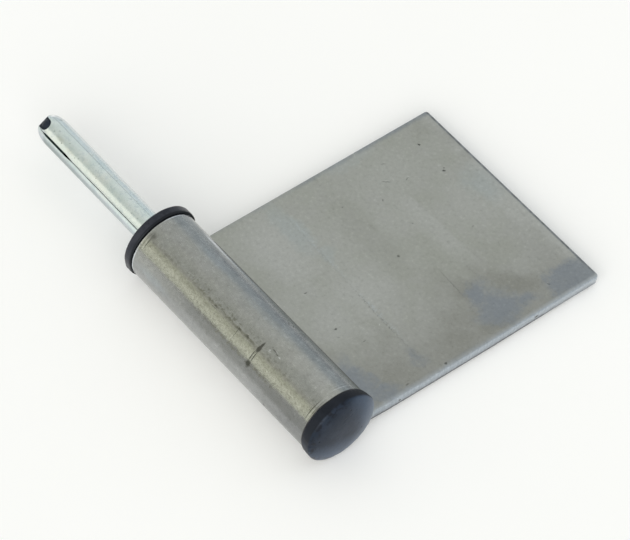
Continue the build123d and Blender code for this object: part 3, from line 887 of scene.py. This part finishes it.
def zinc():
    m, t, b, P = new_material("zinc_plated_steel")
    x, y, z = t.xyz(P)
    b.inputs["Metallic"].default_value = 1.0
    phi = t.mul(t.math("ARCTAN2", z, y), 180 / math.pi)
    K0 = t.vec(phi, x)
    wn = t.vmath("MULTIPLY", t.vmath("SUBTRACT", t.noise(P, 0.7, 3, 0.6, color=True), (0.5, 0.5, 0.5)), (8.0, 0.4, 0.0))
    K = t.vmath("ADD", K0, wn)
    cloud = t.noise(P, 0.25, 4, 0.6)
    grain = t.noise(P, 1.8, 4, 0.7)
    col = t.mix(t.ramp(cloud, 0.35, 0.65), (0.720, 0.815, 0.795), (0.790, 0.865, 0.850))
    col = t.mix(t.ramp(t.noise(P, 0.13, 3, 0.6), 0.5, 0.72, 0.0, 0.5), col, (0.80, 0.84, 0.79))
    col = t.mix(t.ramp(phi, 158, 176), col, (0.84, 0.82, 0.88), "MULTIPLY")
    col = t.mix(t.mul(t.ramp(x, -41.5, -43.5), t.max(t.ramp(phi, 120, 150), t.ramp(phi, -90, -120))), col, (0.80, 0.79, 0.81), "MULTIPLY")
    col = t.mix(t.mul(t.ramp(x, -42.5, -44.5), t.ramp(phi, 88, 60)), col, (0.84, 0.83, 0.85), "MULTIPLY")
    col = t.mix(t.ramp(phi, -90, -120), col, (0.84, 0.82, 0.88), "MULTIPLY")
    col = t.mix(t.mul(t.ramp(phi, 66, 48), t.ramp(phi, -90, -60)), col, (0.76, 0.74, 0.77), "MULTIPLY")
    blot = t.noise(P, 0.62, 4, 0.7)
    col = t.mix(t.ramp(blot, 0.50, 0.66, 0.0, 0.55), col, (0.600, 0.690, 0.720))
    # painted highlight on the top edge of the nose
    col = t.mix(t.spot(K0, 66.0, -45.6, 17.0, 0.85, 0, 0.3, 1.0, 0.9), col, (0.97, 0.98, 0.98))
    dust = t.gather([
        lambda: t.spot(K, 118, -38.0, 13, 2.2, 0, 0.1, 1.0, 0.8),
        lambda: t.spot(K, 124, -33.5, 10, 3.0, 0, 0.1, 1.0, 0.55),
        lambda: t.spot(K, 122, -24.0, 9, 3.5, 0, 0.1, 1.0, 0.30),
    ])
    col = t.mix(t.mul(dust, 0.65), col, (0.60, 0.63, 0.54))
    pits = t.gather([
        lambda: t.spot(K0, 124.0, -37.0, 4.0, 0.30, 0, 0.3, 1.0, 1.0),
        lambda: t.spot(K0, 103.0, -35.2, 3.0, 0.25, 0, 0.3, 1.0, 0.8),
        lambda: t.spot(K0, 128.0, -31.2, 3.0, 0.25, 0, 0.3, 1.0, 0.7),
        lambda: t.spot(K0, 120.0, -30.2, 4.0, 0.22, 0, 0.3, 1.0, 0.6),
        lambda: t.spot(K0, 124.0, -22.5, 3.0, 0.22, 0, 0.3, 1.0, 0.5),
        lambda: t.spot(K0, 112.0, -41.0, 4.0, 0.35, 0, 0.3, 1.0, 0.5),
        lambda: t.spot(K0, 98.0, -40.0, 5.0, 0.5, 0, 0.2, 1.0, 0.35),
        lambda: t.spot(K0, 60.0, -42.9, 8.0, 0.50, 0, 0.3, 1.0, 0.60),
        lambda: t.mul(t.ramp(t.voronoi(P, 0.55), 0.20, 0.06), 0.35),
    ])
    col = t.mix(t.mul(pits, 0.75), col, (0.25, 0.29, 0.26))
    # a fold line along the tube
    fold = t.mul(t.band(phi, 74.4, 75.8, 77.2, 78.8), t.ramp(x, -46.0, -44.0))
    col = t.mix(t.mul(fold, 0.42), col, (0.36, 0.42, 0.42))
    seam = t.mul(t.band(t.xyz(K)[0], 150.8, 152.6, 153.9, 155.4), 1.0)
    col = t.mix(t.mul(seam, 0.42), col, (0.30, 0.36, 0.33))
    rad = t.math("SQRT", t.add(t.mul(y, y), t.mul(z, z)))
    # painted shade: the bore of the tube darkened, seen through the slot
    inner = t.mul(t.ramp(rad, 3.80, 3.50), t.ramp(x, -43.6, -42.0))
    col = t.mix(inner, col, (0.125, 0.170, 0.160))
    col = t.mix(t.mul(t.ramp(x, -45.9, -46.4), 0.5), col, (0.42, 0.46, 0.46))
    mott = t.sub(grain, 0.5)
    col = t.mix(t.ramp(mott, 0.02, 0.3, 0.0, 0.40), col, (0.93, 0.96, 0.94))
    col = t.mix(t.ramp(mott, -0.02, -0.3, 0.0, 0.55), col, t.mix(0.5, col, (0.35, 0.40, 0.38)))
    t.link(col, b.inputs["Base Color"])
    t.link(t.ramp(grain, 0.3, 0.7, 0.17, 0.24, smooth=False), b.inputs["Roughness"])
    n1 = t.bump(t.add(t.noise(P, 0.8, 4, 0.62), t.mul(grain, 0.3)), 0.000020, 1.0)
    t.link(t.bump(t.sub(0.0, t.add(t.mul(pits, 0.6), fold)), 0.000035, 1.0, n1), b.inputs["Normal"])
    return m


def plastic():
    m, t, b, P = new_material("black_plastic")
    x, y, z = t.xyz(P)
    cloud = t.noise(P, 0.3, 4, 0.6)
    grain = t.noise(P, 2.4, 4, 0.7)
    col = t.mix(t.ramp(cloud, 0.35, 0.65), (0.0100, 0.0148, 0.0252), (0.0155, 0.0215, 0.0348))
    col = t.mix(t.mul(t.ramp(x, 61.0, 60.0), t.ramp(x, -6.0, -5.0)), col, (0.0100, 0.0110, 0.0135))
    face = t.ramp(x, 73.9, 74.6)
    side = t.mul(t.ramp(x, 70.6, 70.9), t.ramp(x, 73.5, 73.85, 1.0, 0.0))
    C = t.vec(y, z)
    dots = t.gather([
        lambda: t.spot(C, 5.4, -2.1, 0.42, 0.30, 0, 0.3, 1.0, 0.8),
        lambda: t.spot(C, -8.0, 1.6, 0.36, 0.36, 0, 0.3, 1.0, 0.9),
        lambda: t.spot(C, 1.3, 7.4, 0.34, 0.30, 0, 0.3, 1.0, 0.9),
        lambda: t.stroke(C, -2.5, 4.6, 3.5, 6.6, 0.10, lo=0.3, amount=0.3),
    ])
    dots = t.mul(dots, face)
    dust = t.ramp(t.noise(P, 3.2, 2, 0.5), 0.66, 0.74, 0.0, 0.30)
    col = t.mix(dust, col, (0.060, 0.066, 0.075))
    onface = t.ramp(x, 73.66, 74.2)
    rr = t.math("SQRT", t.add(t.mul(y, y), t.mul(z, z)))
    # painted reflection: the cap's face lighter towards +Y and towards the bottom
    painted_face_reflection = t.max(t.ramp(t.madd(y, 1.0, t.mul(z, 0.25)), 1.5, 10.5), t.mul(t.ramp(t.madd(z, -1.0, t.mul(y, -0.12)), 0.5, 9.0), 0.95))
    col = t.mix(t.mul(t.mul(onface, painted_face_reflection), t.ramp(cloud, 0.3, 0.7, 0.85, 1.0)), col, (0.060, 0.084, 0.126))
    # painted reflection: the cap's face lighter again near its +Y edge
    painted_edge_reflection = t.mul(t.mul(onface, t.ramp(t.madd(y, 1.0, t.mul(z, -0.35)), 3.6, 10.3)), 0.75)
    col = t.mix(painted_edge_reflection, col, (0.102, 0.129, 0.168))
    # painted highlight: a light line near the face's lower +Y edge
    painted_lip_highlight = t.mul(t.band(rr, 8.9, 9.7, 10.1, 10.4), t.mul(t.ramp(y, -3.0, 3.0), t.ramp(z, -0.5, -3.0)))
    col = t.mix(t.mul(t.mul(onface, painted_lip_highlight), t.ramp(t.noise(P, 0.5, 3, 0.6), 0.35, 0.65)), col, (0.150, 0.180, 0.215))
    # painted shade: a ragged near-black band on the shoulder towards -Y
    painted_shoulder_shade = t.mul(t.mul(t.band(rr, 8.2, 9.2, 10.4, 10.8), t.ramp(y, 3.5, -1.5)), t.ramp(t.noise(P, 0.55, 4, 0.68), 0.46, 0.60))
    col = t.mix(t.mul(t.mul(t.ramp(x, 73.3, 73.6), painted_shoulder_shade), 0.8), col, (0.004, 0.004, 0.007))
    col = t.mix(t.mul(t.ramp(x, 2.2, 1.9, 0.0, 0.9), t.ramp(x, -6.0, -5.0)), col,
                t.mix(t.ramp(t.noise(P, 0.6, 4, 0.7), 0.36, 0.64), (0.0200, 0.0215, 0.0290), (0.0350, 0.0365, 0.0460)))
    turn = t.mul(t.math("ARCTAN2", z, y), 180 / math.pi)
    under_seam = t.mul(t.band(turn, 138.0, 144.0, 160.0, 166.0), t.band(x, -43.5, -43.1, -36.0, -35.0))
    col = t.mix(under_seam, col, t.mix(t.ramp(x, -41.8, -42.6), (0.20, 0.26, 0.26), (0.30, 0.36, 0.36)))
    col = t.mix(t.mul(side, 0.8), col, t.mix(t.ramp(cloud, 0.35, 0.65), (0.0062, 0.0070, 0.0100), (0.0100, 0.0112, 0.0150)))
    # lighter patch on the rim's side towards -Y, around mid height
    lighter_side_patch = t.mul(t.band(z, -5.4, -3.8, -0.6, 1.4), t.ramp(y, -4.0, -7.0))
    col = t.mix(t.mul(t.mul(side, lighter_side_patch), 0.8), col, (0.036, 0.041, 0.052))
    col = t.mix(dots, col, (0.003, 0.003, 0.004))
    t.link(col, b.inputs["Base Color"])
    rough = t.add(t.ramp(grain, 0.3, 0.7, 0.26, 0.36, smooth=False), t.add(t.mul(dots, 0.3), t.mul(side, 0.22)))
    t.link(rough, b.inputs["Roughness"])
    b.inputs["IOR"].default_value = 1.28
    b.inputs["Specular Tint"].default_value = (0.80, 0.90, 1.0, 1.0)
    n1 = t.bump(t.add(t.noise(P, 1.1, 4, 0.65), t.mul(grain, 0.3)), 0.000022, 1.0)
    t.link(t.bump(t.sub(0.0, dots), 0.00006, 1.0, n1), b.inputs["Normal"])
    return m


STEEL, ZINC, PLASTIC = steel(), zinc(), plastic()
for ob, mt in ((sheet, STEEL), (pin, ZINC), (plug, PLASTIC), (bush, PLASTIC), (cap, PLASTIC)):
    ob.data.materials.clear()
    ob.data.materials.append(mt)
